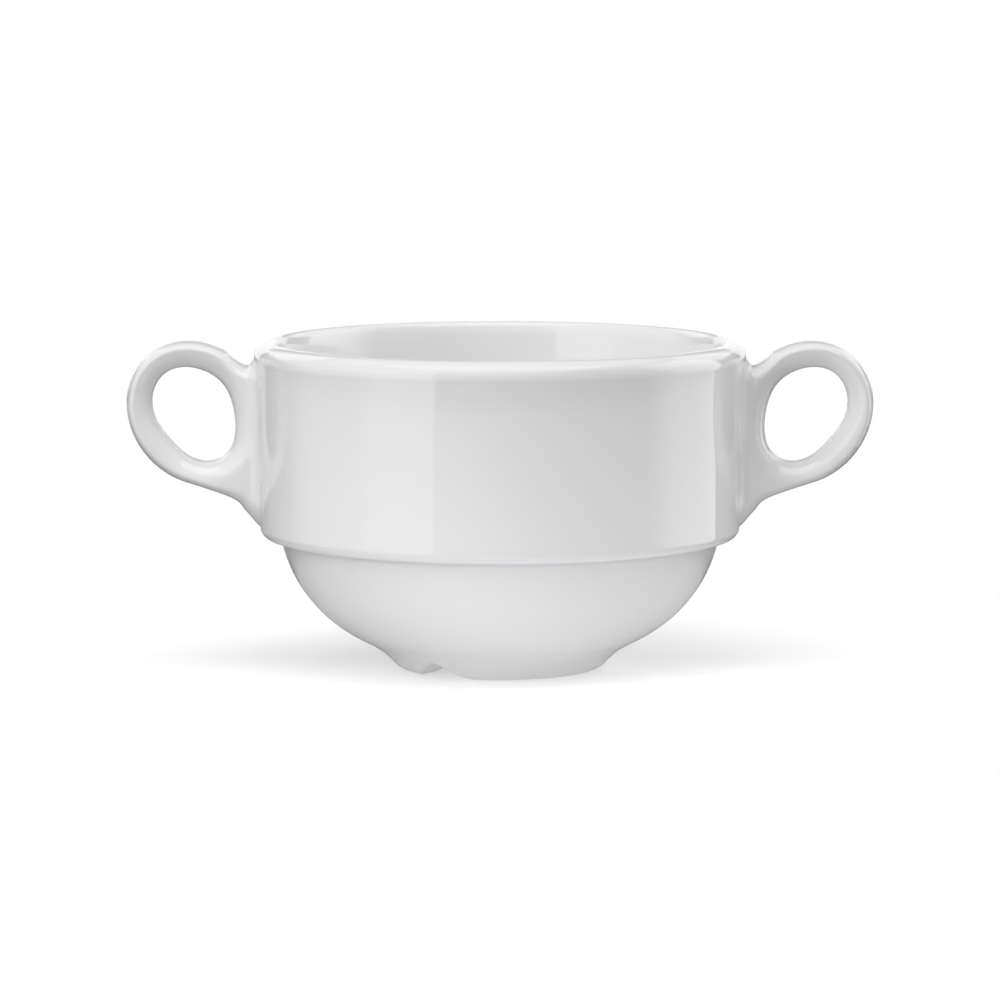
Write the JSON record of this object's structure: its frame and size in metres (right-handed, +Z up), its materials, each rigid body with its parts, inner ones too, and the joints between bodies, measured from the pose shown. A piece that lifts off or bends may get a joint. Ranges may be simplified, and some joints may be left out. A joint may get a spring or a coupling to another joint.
{
  "type": "soup cup",
  "caption": "White porcelain stacking soup cup: drafted band over a stepped round bowl on a foot ring, with ring handles at both sides for lifting hot soup.",
  "frame": {"origin": "on the cup's axis, on the surface that the foot ring stands on", "axes": "+X through the right handle, along the cup's greatest length; -Y is the front seen in the picture; +Z up"},
  "size_m": [0.1558, 0.1022, 0.0688],
  "materials": {
    "glazed_porcelain": "clear gloss glaze over white porcelain",
    "luting_slip": "porcelain slip under the same clear gloss glaze"
  },
  "bodies": {
    "root": {"cup_body": "glazed_porcelain", "right_handle": "glazed_porcelain", "left_handle": "glazed_porcelain", "right_luting_seam": "luting_slip", "left_luting_seam": "luting_slip"}
  },
  "joints": []
}
